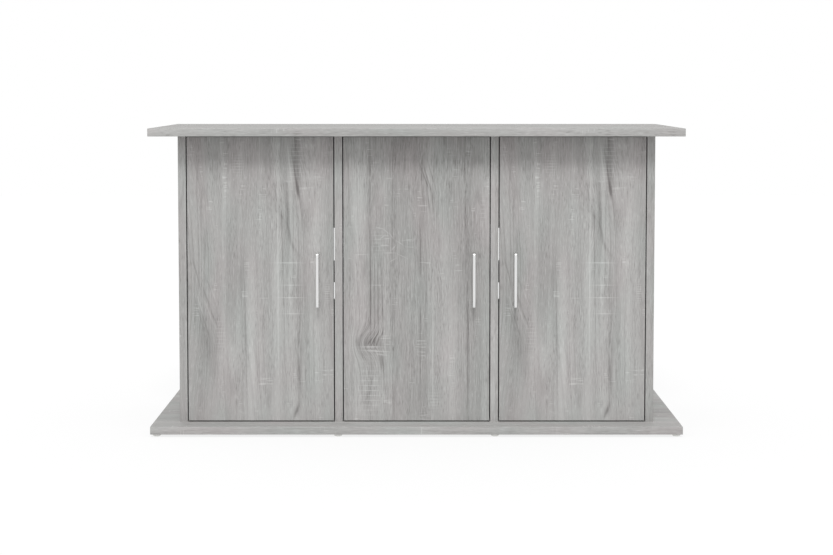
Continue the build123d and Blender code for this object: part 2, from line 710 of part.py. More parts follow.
def upright(x, depth):
    """A side panel or partition, from the front plane back, with every hole that falls in it."""
    with BuildPart() as panel:
        with Locations((x, FRONT, BASE_TOP)):
            Box(BOARD, depth, PANEL_HEIGHT, align=(Align.CENTER, Align.MIN, Align.MIN))
        fillet(panel.edges().filter_by(Axis.Z), EDGE_RADIUS)
        for cuts in (joint_cuts, rail_screw_cuts, pin_cuts, plate_screw_cuts):
            add(cuts.part, mode=Mode.SUBTRACT)
    return panel


write(upright(-SIDE_X, CARCASS_DEPTH), "left_side_panel")
write(upright(SIDE_X, CARCASS_DEPTH), "right_side_panel")
write(upright(-PARTITION_X, PARTITION_DEPTH), "left_partition")
write(upright(PARTITION_X, PARTITION_DEPTH), "right_partition")

for rail_name, rail_z in zip(("lower_back_rail", "upper_back_rail"), RAIL_HEIGHTS):
    with BuildPart() as rail:
        with Locations((0, RAIL_MIDDLE_Y, rail_z)):
            Box(INNER_WIDTH, BOARD, RAIL_HEIGHT)
        fillet(rail.edges().filter_by(Axis.X), EDGE_RADIUS)
        for cuts in (joint_cuts, rail_screw_cuts):
            add(cuts.part, mode=Mode.SUBTRACT)
    write(rail, rail_name)

SHELF_END_GAP = 0.5
SHELF_BACK_GAP = 2.0
SHELF_DEPTH = RAIL_FRONT - SHELF_BACK_GAP - FRONT - SHELF_SETBACK
for shelf_name, bay in (("left_shelf", -1), ("middle_shelf", 0), ("right_shelf", 1)):
    with BuildPart() as shelf:
        with Locations((bay * BAY_PITCH, FRONT + SHELF_SETBACK, SHELF_UNDERSIDE)):
            Box(
                BAY_WIDTH - 2 * SHELF_END_GAP, SHELF_DEPTH, BOARD,
                align=(Align.CENTER, Align.MIN, Align.MIN),
            )
        fillet(shelf.edges().filter_by(Axis.X), EDGE_RADIUS)
    write(shelf, shelf_name)

# ---- handles: slim upright bows --------------------------------------------------------------------

HANDLE_LENGTH = 105.0
HANDLE_REACH = 25.0  # from the door's face to the bar's front
HANDLE_WIDTH = 5.0
HANDLE_BAR_THICK = 5.5
HANDLE_POST = HANDLE_LENGTH - HANDLE_SPACING  # post, along the bar
HANDLE_SCREW_RADIUS = 1.5
HANDLE_SCREW_GRIP = 12.0  # length of screw in the post
HANDLE_HEAD_RADIUS = 3.5
HANDLE_HEAD_THICK = 2.4
HANDLE_CROSS = (4.6, 1.4, 0.9)
HANDLE_OUTER_BEND = 4.0
HANDLE_INNER_BEND = 3.0
HANDLE_CHAMFER = 0.7

with BuildPart() as handle_form:
    with BuildSketch(Plane.YZ) as bow:
        Rectangle(HANDLE_REACH, HANDLE_LENGTH, align=(Align.MAX, Align.CENTER))
        fillet(bow.vertices().group_by(Axis.X)[0], HANDLE_OUTER_BEND)
        with BuildSketch(mode=Mode.PRIVATE) as grip:
            Rectangle(
                HANDLE_REACH - HANDLE_BAR_THICK, HANDLE_LENGTH - 2 * HANDLE_POST,
                align=(Align.MAX, Align.CENTER),
            )
            fillet(grip.vertices().group_by(Axis.X)[0], HANDLE_INNER_BEND)
        add(grip.sketch, mode=Mode.SUBTRACT)
    extrude(amount=HANDLE_WIDTH / 2, both=True)
    chamfer(handle_form.faces().sort_by(Axis.Y)[0].edges(), HANDLE_CHAMFER)
    with Locations(
        *[Location((0, 0, side * HANDLE_SPACING / 2), (90, 0, 0)) for side in (-1, 1)]
    ):
        Cylinder(
            HANDLE_SCREW_RADIUS + SCREW_FIT, HANDLE_SCREW_GRIP + 0.5,
            align=(Align.CENTER, Align.CENTER, Align.MIN), mode=Mode.SUBTRACT,
        )

with BuildPart() as handle_screw_form:
    with Locations(Location((0, 0, 0), (90, 0, 0))):
        Cylinder(
            HANDLE_SCREW_RADIUS, BOARD + HANDLE_SCREW_GRIP,
            align=(Align.CENTER, Align.CENTER, Align.MIN),
        )
    with Locations(Location((0, 0, 0), (-90, 0, 0))):
        Cylinder(
            HANDLE_HEAD_RADIUS, HANDLE_HEAD_THICK, align=(Align.CENTER, Align.CENTER, Align.MIN)
        )
    fillet(handle_screw_form.faces().sort_by(Axis.Y)[-1].edges(), 1.0)
    for turn in (0, 90):
        with Locations(Location((0, HANDLE_HEAD_THICK, 0), (0, turn, 0))):
            Box(*HANDLE_CROSS, align=(Align.CENTER, Align.MAX, Align.CENTER), mode=Mode.SUBTRACT)

# ---- the doors, each with its own fittings ---------------------------------------------------------

for door in DOORS:
    with BuildPart() as panel:
        with Locations((door.centre_x, FRONT, MID_HEIGHT)):
            Box(DOOR_WIDTH, BOARD, DOOR_HEIGHT, align=(Align.CENTER, Align.MIN, Align.CENTER))
        fillet(panel.faces().sort_by(Axis.Y)[0].edges(), EDGE_RADIUS)
        fillet(panel.faces().sort_by(Axis.Y)[-1].edges(), EDGE_RADIUS)
        with Locations(*door.hinge_frames):
            add(door.hand(cup_cut), mode=Mode.SUBTRACT)
        with Locations(
            *[
                Location((door.handle_x, FRONT, MID_HEIGHT + side * HANDLE_SPACING / 2), (90, 0, 0))
                for side in (-1, 1)
            ]
        ):
            Hole(HANDLE_SCREW_RADIUS + 0.5)
    write(panel, f"{door.name}_door")

    with BuildPart() as handle:
        with Locations((door.handle_x, FRONT, MID_HEIGHT)):
            add(handle_form.part)
    write(handle, f"{door.name}_handle")

    with BuildPart() as handle_screws:
        with Locations(
            *[(door.handle_x, DOOR_BACK, MID_HEIGHT + side * HANDLE_SPACING / 2) for side in (-1, 1)]
        ):
            add(handle_screw_form.part)
    write(handle_screws, f"{door.name}_handle_screws")

    for form, fitting in (
        (cup_form, "hinge_cups"),
        (cup_screws_form, "hinge_cup_screws"),
        (hinge_pin_form, "hinge_pins"),
        (spring_form, "hinge_springs"),
    ):
        with BuildPart() as fittings:
            with Locations(*door.hinge_frames):
                add(door.hand(form))
        write(fittings, f"{door.name}_{fitting}")
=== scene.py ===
"""Looks of the three-door aquarium stand: grey saw-marked oak boards, satin handles, plated fittings."""

import math

import bpy
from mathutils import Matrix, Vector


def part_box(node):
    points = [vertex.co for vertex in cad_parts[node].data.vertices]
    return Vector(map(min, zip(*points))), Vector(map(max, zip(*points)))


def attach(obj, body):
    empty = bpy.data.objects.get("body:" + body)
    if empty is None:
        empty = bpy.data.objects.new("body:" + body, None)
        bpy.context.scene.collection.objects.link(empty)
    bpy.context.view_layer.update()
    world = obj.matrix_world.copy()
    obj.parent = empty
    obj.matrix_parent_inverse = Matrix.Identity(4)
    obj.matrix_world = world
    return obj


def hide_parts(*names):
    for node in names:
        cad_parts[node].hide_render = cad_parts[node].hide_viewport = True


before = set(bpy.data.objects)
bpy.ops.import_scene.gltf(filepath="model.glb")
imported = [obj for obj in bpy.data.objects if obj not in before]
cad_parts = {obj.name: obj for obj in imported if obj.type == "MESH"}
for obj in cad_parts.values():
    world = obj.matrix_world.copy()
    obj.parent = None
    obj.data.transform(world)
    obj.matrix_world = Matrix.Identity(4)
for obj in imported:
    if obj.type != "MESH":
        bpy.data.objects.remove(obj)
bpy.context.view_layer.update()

bpy.ops.object.select_all(action="DESELECT")

# ---- Top board and base board ----------------------------------------------------------------------
# Chipboard 15 mm thick, faced with melamine paper printed as grey oak that still shows the saw. Each is
# cut from the sheet with the grain along its length, and a strip of the same paper is ironed on to
# every edge. Cam bolts and dowels in its face hold it to the panels.
MM = 0.001
X, Y, Z = 0, 1, 2


def linear(hex_colour):
    """An sRGB hex colour as the linear colour, with alpha, that a shader socket takes."""
    parts = [int(hex_colour[i : i + 2], 16) / 255 for i in (1, 3, 5)]
    return [p / 12.92 if p <= 0.04045 else ((p + 0.055) / 1.055) ** 2.4 for p in parts] + [1.0]


def add_node(tree, kind, settings, inputs, output=0):
    """Adds one shader node with its settings and its inputs, values or sockets, and gives one output."""
    made = tree.nodes.new("ShaderNode" + kind)
    for name, value in settings.items():
        setattr(made, name, value)
    for key, value in inputs.items():
        if isinstance(value, bpy.types.NodeSocket):
            tree.links.new(value, made.inputs[key])
        else:
            made.inputs[key].default_value = value
    return None if output is None else made.outputs[output]


def new_finish(name):
    """An empty material that is ready for its nodes, and its node tree."""
    finish = bpy.data.materials.new(name)
    finish.use_nodes = True
    finish.node_tree.nodes.clear()
    return finish, finish.node_tree


def wear(finish, *names):
    """Gives CAD nodes a material in place of the one that they came with."""
    for name in names:
        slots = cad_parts[name].data.materials
        slots.clear()
        slots.append(finish)


# Layers of the printed figure: name, length along the grain in mm, width across it in mm, noise detail,
# and whether it changes from stave to stave. Real pores are a tenth of a millimetre wide. The pore layer
# draws them about ten times coarser, so that they show from across a room, and the scratch layer is nearer
# their real size.
FIGURE = (
    ("band", 2400.0, 24.0, 1.0, False),
    ("cloud", 330.0, 95.0, 2.0, False),
    ("growth", 900.0, 70.0, 1.0, True),
    ("fibre", 50.0, 1.4, 2.0, False),
    ("streak", 260.0, 5.5, 2.0, True),
    ("pore", 15.0, 1.5, 1.0, False),
    ("pore_patch", 110.0, 30.0, 1.0, True),
    ("scratch", 9.0, 0.45, 1.0, False),
    ("saw", 2.4, 40.0, 1.0, False),
    ("saw_patch", 52.0, 30.0, 1.0, True),
    ("tint", 150.0, 60.0, 1.0, False),
)
LAYER_STEP = 3.7  # from one layer's noise to the next one's, so that they don't repeat each other
# Which values of a layer show, as inputs of a Map Range node: 1 is where it starts to show, 2 where it
# shows fully, and 3 what is left outside that. Noise lies between about 0.3 and 0.7.
SHOWS = {
    "rings": {1: 0.2, 2: 1.0},
    "rings_clear": {1: 0.38, 2: 0.6},
    "pores": {1: 0.54, 2: 0.68},
    "pore_patch": {1: 0.40, 2: 0.62, 3: 0.2},
    "flecks": {1: 0.42, 2: 0.28},
    "saw_lines": {1: 0.56, 2: 0.66},
    "saw_patch": {1: 0.60, 2: 0.70},
}
SOFTLY = {"interpolation_type": "SMOOTHSTEP"}
# How far each part lightens the print, and the value at which it changes nothing.
WEIGHTS = (
    ("band", 0.36, 0.5),
    ("stave", 0.10, 0.5),
    ("cloud", 0.30, 0.5),
    ("streak", 0.12, 0.5),
    ("fibre", 0.46, 0.5),
    ("rings", -0.10, 0.2),
    ("pores", -0.20, 0.0),
    ("flecks", 0.16, 0.0),
    ("scratch", 0.26, 0.5),
    ("seam", -0.10, 0.0),
    ("saw_lines", 0.24, 0.0),
)
PLAIN_TONE = 0.53  # of the print between its details, where 0 is the dark colour and 1 the light one
STAVE_WIDTH = 66.0  # the print shows a board glued up from staves of about this width
STAVE_SPREAD = 42.0  # by which their widths differ
STAVE_PERIOD = 83.0  # across the grain, over which the widths change
STAVE_OFFSETS = (4000.0, 900.0, 0.0)  # from stave to stave, on the log that they are sawn from
SEAM_SHARE = 0.035  # part of a stave's width that the dark line at its side takes up
RINGS = 13.0  # growth lines in the full height of the growth layer
WANDER = 16.0  # mm that the grain drifts sideways
WANDER_LENGTH = 420.0
WANDER_WIDTH = 120.0
STRIP_PLACE = 700.0  # mm across the sheet to where the edge strips are cut
SAW_LINE = 1.1  # mm, half the height of a saw line
EDGE_FACING = 0.7  # a face that is turned this much along the grain, or across it, is an edge strip
OAK_DARK = "#646160"
OAK_MID = "#959392"
OAK_LIGHT = "#b7b6b5"
OAK_WARM = "#969392"
OAK_COOL = "#939492"


def spot(tree, sheet, along, across, length, width, lean=0.0):
    """A soft-edged oval on a board's sheet, 1 at its middle. The sizes are mm from the middle to where
    it has faded to a third. lean is in degrees, to the right as it goes down the grain."""
    near = add_node(
        tree, "Mapping", {"vector_type": "TEXTURE"},
        {0: sheet, 1: (along, across, 0), 2: (0, 0, math.radians(-lean)), 3: (length, width, 1)},
    )
    near = add_node(tree, "VectorMath", {"operation": "DOT_PRODUCT"}, {0: near, 1: near}, 1)
    return add_node(tree, "Math", {"operation": "POWER"}, {0: math.exp(-1), 1: near})


def grey_oak(name, grain, cross, figure_at, knots=(), marks=(), ladders=()):
    """Grey oak melamine for one board: matt, with dark pores and pale saw lines printed on it. grain and
    cross are axis numbers. figure_at is where on the printed sheet, in mm along and across the grain, the
    board was cut. From the board's middle, in mm: knots (along, across, length, width, push) turn the
    grain aside, marks (along, across, length, width, lean, tone) darken or lighten it, some of them as
    painted light and shade, and ladders (along, across, length, width, pitch, tone) are rows of saw lines."""
    low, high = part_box(name)
    depth = X + Y + Z - grain - cross
    finish, tree = new_finish("grey_oak_melamine_" + name)
    centre = (low + high) / 2
    place = add_node(tree, "TexCoord", {}, {}, 3)
    place = add_node(tree, "Mapping", {}, {0: place, 1: -centre / MM, 3: (1 / MM,) * 3})
    axes = add_node(tree, "SeparateXYZ", {}, {0: place}).node.outputs
    facing = add_node(tree, "TexCoord", {}, {}, 1)
    facing = add_node(tree, "VectorMath", {"operation": "ABSOLUTE"}, {0: facing})
    facing = add_node(tree, "SeparateXYZ", {}, {0: facing}).node.outputs
    on_end = add_node(tree, "Math", {"operation": "GREATER_THAN"}, {0: facing[grain], 1: EDGE_FACING})
    on_side = add_node(tree, "Math", {"operation": "GREATER_THAN"}, {0: facing[cross], 1: EDGE_FACING})
    # the strip on an end runs across the board, and both strips come from another part of the sheet
    along = add_node(tree, "Mix", {}, {0: on_end, 2: axes[grain], 3: axes[cross]})
    strip = add_node(tree, "Math", {"operation": "ADD"}, {0: axes[depth], 1: STRIP_PLACE})
    on_strip = add_node(tree, "Math", {"operation": "MAXIMUM"}, {0: on_end, 1: on_side})
    across = add_node(tree, "Mix", {}, {0: on_strip, 2: axes[cross], 3: strip})
    sheet = add_node(tree, "CombineXYZ", {}, {0: along, 1: across})

    # the grain drifts a little everywhere, and runs round each knot
    drift = add_node(tree, "Mapping", {}, {0: sheet, 1: (*figure_at, 0)})
    drift = add_node(tree, "Mapping", {}, {0: drift, 3: (1 / WANDER_LENGTH, 1 / WANDER_WIDTH, 1)})
    drift = add_node(tree, "TexNoise", {}, {"Vector": drift, "Scale": 1.0, "Detail": 1.5})
    drift = add_node(tree, "Math", {"operation": "MULTIPLY"}, {0: drift, 1: WANDER})
    knotted = 0.0
    for knot_along, knot_across, length, width, push in knots:
        near = spot(tree, sheet, knot_along, knot_across, length, width)
        drift = add_node(tree, "Math", {"operation": "MULTIPLY_ADD"}, {0: near, 1: push, 2: drift})
        knotted = add_node(tree, "Math", {"operation": "ADD"}, {0: near, 1: knotted})
    drift = add_node(tree, "CombineXYZ", {}, {0: figure_at[0], 1: drift})
    drifted = add_node(tree, "VectorMath", {"operation": "ADD"}, {0: sheet, 1: drift})
    drifted = add_node(tree, "VectorMath", {"operation": "ADD"}, {0: drifted, 1: (0, figure_at[1], 0)})

    # staves: each is taken from another part of the log, and meets the next along a faint dark line
    spread = add_node(tree, "SeparateXYZ", {}, {0: drifted}, 1)
    wide = add_node(tree, "Math", {"operation": "MULTIPLY"}, {0: spread, 1: 1 / STAVE_PERIOD})
    wide = add_node(tree, "TexNoise", {"noise_dimensions": "1D"}, {"W": wide, "Scale": 1.0, "Detail": 0.0})
    wide = add_node(tree, "Math", {"operation": "MULTIPLY_ADD"}, {0: wide, 1: STAVE_SPREAD * 2, 2: spread})
    wide = add_node(tree, "Math", {"operation": "DIVIDE"}, {0: wide, 1: STAVE_WIDTH})
    stave = add_node(tree, "Math", {"operation": "FLOOR"}, {0: wide})
    stave = add_node(tree, "TexWhiteNoise", {"noise_dimensions": "1D"}, {"W": stave}, 1)
    log = add_node(tree, "VectorMath", {"operation": "MULTIPLY"}, {0: stave, 1: STAVE_OFFSETS})
    log = add_node(tree, "VectorMath", {"operation": "ADD"}, {0: drifted, 1: log})
    seam = add_node(tree, "Math", {"operation": "FRACT"}, {0: wide})
    seam = add_node(tree, "MapRange", {}, {0: seam, 1: 0.0, 2: SEAM_SHARE, 3: 1.0, 4: 0.0})
    layer = {"stave": add_node(tree, "SeparateXYZ", {}, {0: stave}, 2), "seam": seam}
    for number, (part, length, width, detail, by_stave) in enumerate(FIGURE):
        stretched = add_node(
            tree, "Mapping", {},
            {
                0: log if by_stave else drifted,
                1: (LAYER_STEP * number, 0, number),
                3: (1 / length, 1 / width, 1),
            },
        )
        layer[part] = add_node(
            tree, "TexNoise", {}, {"Vector": stretched, "Scale": 1.0, "Detail": detail, "Roughness": 0.55}
        )

    # growth lines, which show where the grain is clear and round the knots
    rings = add_node(tree, "Math", {"operation": "MULTIPLY"}, {0: layer["growth"], 1: RINGS * math.tau})
    rings = add_node(tree, "Math", {"operation": "SINE"}, {0: rings})
    rings = add_node(tree, "MapRange", {}, {0: rings, **SHOWS["rings"]})
    clear = add_node(tree, "MapRange", {}, {0: layer["cloud"], **SHOWS["rings_clear"]})
    clear = add_node(tree, "Math", {"operation": "ADD"}, {0: clear, 1: knotted})
    layer["rings"] = add_node(tree, "Math", {"operation": "MULTIPLY"}, {0: rings, 1: clear})
    # pores and saw lines, which come in patches, and pale flecks between the pores
    pores = add_node(tree, "MapRange", SOFTLY, {0: layer["pore"], **SHOWS["pores"]})
    patch = add_node(tree, "MapRange", {}, {0: layer["pore_patch"], **SHOWS["pore_patch"]})
    layer["pores"] = add_node(tree, "Math", {"operation": "MULTIPLY"}, {0: pores, 1: patch})
    layer["flecks"] = add_node(tree, "MapRange", {}, {0: layer["pore"], **SHOWS["flecks"]})
    lines = add_node(tree, "MapRange", SOFTLY, {0: layer["saw"], **SHOWS["saw_lines"]})
    patch = add_node(tree, "MapRange", SOFTLY, {0: layer["saw_patch"], **SHOWS["saw_patch"]})
    layer["saw_lines"] = add_node(tree, "Math", {"operation": "MULTIPLY"}, {0: lines, 1: patch})

    # what this board shows in its own places, painted light and shade among them, broken up by the fibres
    special = 0.0
    for mark_along, mark_across, length, width, lean, tone in marks:
        near = spot(tree, sheet, mark_along, mark_across, length, width, lean)
        special = add_node(tree, "Math", {"operation": "MULTIPLY_ADD"}, {0: near, 1: tone, 2: special})
    for ladder_along, ladder_across, length, width, pitch, tone in ladders:
        near = spot(tree, sheet, ladder_along, ladder_across, length, width)
        rung = add_node(tree, "Math", {"operation": "ADD"}, {0: along, 1: length - ladder_along})
        rung = add_node(tree, "Math", {"operation": "PINGPONG"}, {0: rung, 1: pitch / 2})
        rung = add_node(tree, "MapRange", {}, {0: rung, 1: SAW_LINE, 2: 0.0, 3: 0.0, 4: tone})
        special = add_node(tree, "Math", {"operation": "MULTIPLY_ADD"}, {0: near, 1: rung, 2: special})
    broken = add_node(tree, "MapRange", {}, {0: layer["fibre"], 1: 0.3, 2: 0.7, 3: 1.5, 4: 0.5})
    special = add_node(tree, "Math", {"operation": "MULTIPLY"}, {0: special, 1: broken})

    # the print's tone, which also stands up a little as relief, but for the marks and ladders
    tone = PLAIN_TONE
    for part, weight, middle in WEIGHTS:
        centred = add_node(tree, "Math", {"operation": "SUBTRACT"}, {0: layer[part], 1: middle})
        tone = add_node(tree, "Math", {"operation": "MULTIPLY_ADD"}, {0: centred, 1: weight, 2: tone})
    relief = add_node(tree, "Bump", {}, {"Strength": 0.25, "Distance": 0.1 * MM, "Height": tone})
    tone = add_node(tree, "Math", {"operation": "ADD"}, {0: tone, 1: special})

    ramp = add_node(tree, "ValToRGB", {}, {0: tone})
    stops = ramp.node.color_ramp.elements
    stops[0].position, stops[0].color = 0.0, linear(OAK_DARK)
    stops[1].position, stops[1].color = 1.0, linear(OAK_LIGHT)
    stops.new(0.5).color = linear(OAK_MID)
    # patches of it are a trace warmer or cooler
    tint = add_node(tree, "MapRange", {}, {0: layer["tint"], 1: 0.3, 2: 0.7})
    colours = {0: tint, 6: linear(OAK_COOL), 7: linear(OAK_WARM)}
    tint = add_node(tree, "Mix", {"data_type": "RGBA"}, colours, 2)
    colours = {0: 1.0, 6: tint, 7: linear(OAK_MID)}
    tint = add_node(tree, "Mix", {"data_type": "RGBA", "blend_type": "DIVIDE"}, colours, 2)
    colours = {0: 1.0, 6: ramp, 7: tint}
    colour = add_node(tree, "Mix", {"data_type": "RGBA", "blend_type": "MULTIPLY"}, colours, 2)
    # melamine resin with a fine matt texture, so it mirrors less than its index alone would make it
    shine = add_node(tree, "MapRange", {}, {0: layer["streak"], 1: 0.3, 2: 0.7, 3: 0.52, 4: 0.64})
    shader = add_node(
        tree, "BsdfPrincipled", {},
        {"Base Color": colour, "Roughness": shine, "IOR": 1.5, "Specular IOR Level": 0.2, "Normal": relief},
    )
    add_node(tree, "OutputMaterial", {}, {0: shader}, None)
    wear(finish, name)


# marks: (along, across, length, width, lean, tone). Painted shade makes the top board's face darker
# than its strips, against the light from above. Painted light makes the base board's face paler along
# the front, where the doors shade it, and its strips are darker.
TOP_PAINTED_SHADE = ((0.0, 0.0, 2000.0, 350.0, 0.0, -0.07),)
BASE_MARKS_AND_PAINTED_LIGHT = (
    # painted light along the front of the face, where the doors shade it
    (0.0, -170.0, 520.0, 40.0, 0.0, 0.20),
    (0.0, STRIP_PLACE, 2000.0, 60.0, 0.0, -0.09),
)
grey_oak("top_board", X, Y, (0.0, 300.0), marks=TOP_PAINTED_SHADE)
grey_oak("base_board", X, Y, (1500.0, 900.0), marks=BASE_MARKS_AND_PAINTED_LIGHT)

# ---- Side panels and partitions --------------------------------------------------------------------
# Four uprights of the same board with the grain running up them. They stand on the base board on cams
# and dowels, and carry the shelf pins and the hinge plates on their inner faces.
PALE_STRIPS = ((0.0, STRIP_PLACE, 2000.0, 60.0, 0.0, 0.06),)
grey_oak("left_side_panel", Z, Y, (300.0, 2000.0))
grey_oak("right_side_panel", Z, Y, (900.0, 2600.0))
grey_oak("left_partition", Z, Y, (1700.0, 3200.0), marks=PALE_STRIPS)
grey_oak("right_partition", Z, Y, (2500.0, 3900.0), marks=PALE_STRIPS)

# ---- Back rails ------------------------------------------------------------------------------------
# Two wide rails of the same board, with the grain along them, let in flush between the side panels and
# screwed to the partitions. They keep the frame square, and leave a gap for hoses.
grey_oak("upper_back_rail", X, Z, (0.0, 4600.0))
grey_oak("lower_back_rail", X, Z, (1300.0, 5100.0))

# ---- Shelves ---------------------------------------------------------------------------------------
# One loose shelf of the same board in each bay, at half height, which lies on four pins.
BAYS = ("left", "middle", "right")
SHELF_STEP = 500.0  # mm along the sheet from one shelf to the next
for number, bay in enumerate(BAYS):
    grey_oak(bay + "_shelf", X, Y, (SHELF_STEP * number, 5800.0))

# ---- Doors -----------------------------------------------------------------------------------------
# Three inset doors of the same board with upright grain. The two outer ones are cut from the same place
# on the print, so they match. Below, places are mm down and to the right from a door's top left corner.
# knots: (down, right, length, width, push)
OUTER_KNOTS = (
    (-27.0, 214.0, 150.0, 22.0, 22.0),
    (293.0, -14.0, 210.0, 60.0, -46.0),
    (163.0, 186.0, 90.0, 20.0, -14.0),
)
# marks: (down, right, length, width, lean, tone)
OUTER_MARKS = (
    # painted shade at the top, below the top board, and painted light at the foot, above the base board
    (15.0, 146.0, 60.0, 600.0, 0.0, -0.06),
    (555.0, 146.0, 45.0, 600.0, 0.0, 0.14),
    # a feather of dark grain that narrows downwards, and a bowed line below it
    (45.0, 207.0, 42.0, 8.0, 7.0, -0.17),
    (78.0, 210.0, 26.0, 5.0, 8.0, -0.12),
    (62.0, 205.0, 52.0, 1.6, 9.0, -0.26),
    (100.0, 210.5, 14.0, 2.6, 9.0, -0.40),
    (52.0, 196.0, 50.0, 1.3, 7.0, 0.16),
    (135.0, 191.0, 48.0, 2.4, 2.0, -0.14),
    (188.0, 196.0, 26.0, 3.0, 13.0, -0.16),
    (212.0, 204.0, 17.0, 3.0, 28.0, -0.15),
    (320.0, 211.0, 110.0, 9.0, 0.0, -0.13),
    # single saw lines
    (241.0, 193.0, 0.9, 21.0, 0.0, 0.34),
    (284.0, 200.0, 0.9, 18.0, 0.0, 0.26),
    (308.0, 199.0, 0.9, 21.0, 0.0, 0.32),
    (339.0, 201.0, 0.9, 17.0, 0.0, 0.26),
    (309.0, 146.0, 0.9, 8.0, 0.0, 0.2),
    # a dark streak that ends in a sharp sliver
    (455.0, 213.0, 64.0, 5.0, 0.0, -0.20),
    (528.0, 207.0, 13.0, 3.0, -20.0, -0.45),
    # long bands and lines
    (390.0, 121.0, 190.0, 8.0, 0.0, 0.20),
    (400.0, 110.5, 170.0, 1.2, 1.0, -0.20),
    (250.0, 173.0, 220.0, 1.1, 0.0, 0.20),
    (230.0, 182.0, 200.0, 1.1, 1.0, -0.20),
    (270.0, 102.0, 50.0, 4.0, 0.0, -0.14),
    (420.0, 82.0, 60.0, 18.0, 0.0, 0.14),
    (110.0, 76.0, 60.0, 12.0, 2.0, 0.12),
    (400.0, 36.0, 70.0, 15.0, 16.0, -0.12),
    (258.0, 16.0, 30.0, 1.4, 14.0, -0.20),
    (308.0, 36.0, 26.0, 1.4, 20.0, -0.16),
    (340.0, 22.0, 30.0, 1.4, 15.0, -0.14),
    (348.0, 50.0, 20.0, 1.4, 23.0, -0.16),
    (282.0, 40.0, 20.0, 1.3, 22.0, -0.14),
    (362.0, 34.0, 24.0, 1.3, 17.0, -0.16),
    (318.0, 22.0, 26.0, 1.2, 17.0, 0.16),
    (336.0, 40.0, 24.0, 1.2, 20.0, 0.14),
    (300.0, 48.0, 20.0, 1.2, 22.0, 0.12),
    (260.0, 245.0, 180.0, 18.0, 0.0, 0.06),
)
# ladders: (down, right, length, width, pitch, tone)
OUTER_LADDERS = (
    (44.0, 208.0, 40.0, 12.0, 8.0, 0.26),
    (52.0, 97.0, 16.0, 10.0, 5.5, 0.24),
    (298.0, 267.0, 16.0, 5.0, 4.5, 0.28),
    (380.0, 62.0, 30.0, 9.0, 7.0, 0.16),
)
MIDDLE_KNOTS = (
    (396.0, 44.0, 26.0, 26.0, 20.0),
)
MIDDLE_MARKS = (
    (273.0, 136.0, 900.0, 900.0, 0.0, -0.09),
    # painted shade at the top, below the top board, and painted light at the foot, above the base board
    (15.0, 146.0, 60.0, 600.0, 0.0, -0.06),
    (555.0, 146.0, 45.0, 600.0, 0.0, 0.14),
    # the knot and the lines that close in on it from above
    (396.0, 56.0, 12.0, 24.0, 0.0, -0.16),
    (403.0, 53.0, 1.1, 18.0, 0.0, 0.42),
    (411.0, 60.0, 1.0, 20.0, -3.0, 0.40),
    (418.0, 72.0, 1.4, 8.0, -8.0, 0.30),
    (312.0, 52.0, 72.0, 1.2, 0.0, -0.28),
    (316.0, 59.0, 74.0, 1.2, 0.0, -0.28),
    (320.0, 66.0, 74.0, 1.2, 0.5, -0.26),
    (320.0, 74.0, 76.0, 1.4, 1.0, -0.26),
    (386.0, 60.0, 16.0, 1.3, -28.0, -0.36),
    (388.0, 68.0, 16.0, 1.3, -24.0, -0.36),
    (390.0, 52.0, 12.0, 1.3, -36.0, -0.30),
    (430.0, 73.0, 22.0, 4.5, 6.0, -0.32),
    # nested arcs
    (80.0, 156.0, 24.0, 1.2, 20.0, -0.30),
    (88.0, 163.0, 28.0, 1.2, 17.0, -0.30),
    (72.0, 168.0, 24.0, 1.2, 16.0, -0.26),
    (120.0, 170.0, 22.0, 1.2, 5.0, -0.26),
    (126.0, 163.0, 26.0, 1.2, 8.0, -0.26),
    (110.0, 152.0, 36.0, 1.4, 5.0, -0.26),
    # long lines and bands
    (200.0, 147.0, 52.0, 1.6, 0.0, -0.20),
    (385.0, 147.0, 120.0, 1.2, 0.0, -0.24),
    (400.0, 171.0, 130.0, 1.4, 0.0, 0.24),
    (380.0, 238.0, 150.0, 1.6, 0.0, -0.26),
    (120.0, 233.0, 120.0, 1.4, 1.0, -0.22),
    (200.0, 51.0, 180.0, 1.3, 0.0, -0.20),
    (420.0, 202.0, 150.0, 24.0, 0.0, 0.16),
    (273.0, 262.0, 400.0, 18.0, 0.0, 0.08),
    (150.0, 28.0, 90.0, 16.0, 0.0, 0.10),
    (230.0, 195.0, 80.0, 12.0, 0.0, 0.10),
    # crossed scratches of the saw
    (174.0, 68.0, 0.9, 7.0, -12.0, 0.22),
    (181.0, 82.0, 0.9, 7.0, -40.0, 0.22),
    (192.0, 74.0, 0.9, 6.0, 40.0, 0.22),
    (190.0, 92.0, 0.9, 6.0, -55.0, 0.22),
    (197.0, 124.0, 0.9, 10.0, 6.0, 0.26),
    (203.0, 108.0, 0.9, 7.0, -35.0, 0.22),
    (212.0, 96.0, 0.9, 6.0, 50.0, 0.22),
    (222.0, 88.0, 0.9, 10.0, 0.0, 0.24),
    (228.0, 112.0, 0.9, 8.0, -24.0, 0.22),
    (236.0, 94.0, 0.9, 7.0, 30.0, 0.20),
    (225.0, 34.0, 0.9, 10.0, 0.0, 0.24),
    (284.0, 64.0, 0.9, 14.0, 0.0, 0.20),
)
MIDDLE_LADDERS = (
    (487.0, 51.0, 48.0, 17.0, 9.5, 0.34),
    (506.0, 174.0, 16.0, 10.0, 6.0, 0.26),
    (140.0, 266.0, 22.0, 5.0, 8.0, 0.24),
    (198.0, 66.0, 26.0, 12.0, 7.0, 0.18),
)


def on_door(name, places):
    """The same rows with each place measured from the middle of the door, up and to the right."""
    low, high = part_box(name)
    half = (high - low) / 2 / MM
    return [(half[Z] - down, right - half[X], *rest) for down, right, *rest in places]


OUTER_PRINT = ((0.0, 7000.0), OUTER_KNOTS, OUTER_MARKS, OUTER_LADDERS)
MIDDLE_PRINT = ((1200.0, 7400.0), MIDDLE_KNOTS, MIDDLE_MARKS, MIDDLE_LADDERS)
for bay, (figure_at, *details) in zip(BAYS, (OUTER_PRINT, MIDDLE_PRINT, OUTER_PRINT)):
    name = bay + "_door"
    grey_oak(name, Z, X, figure_at, *[on_door(name, places) for places in details])

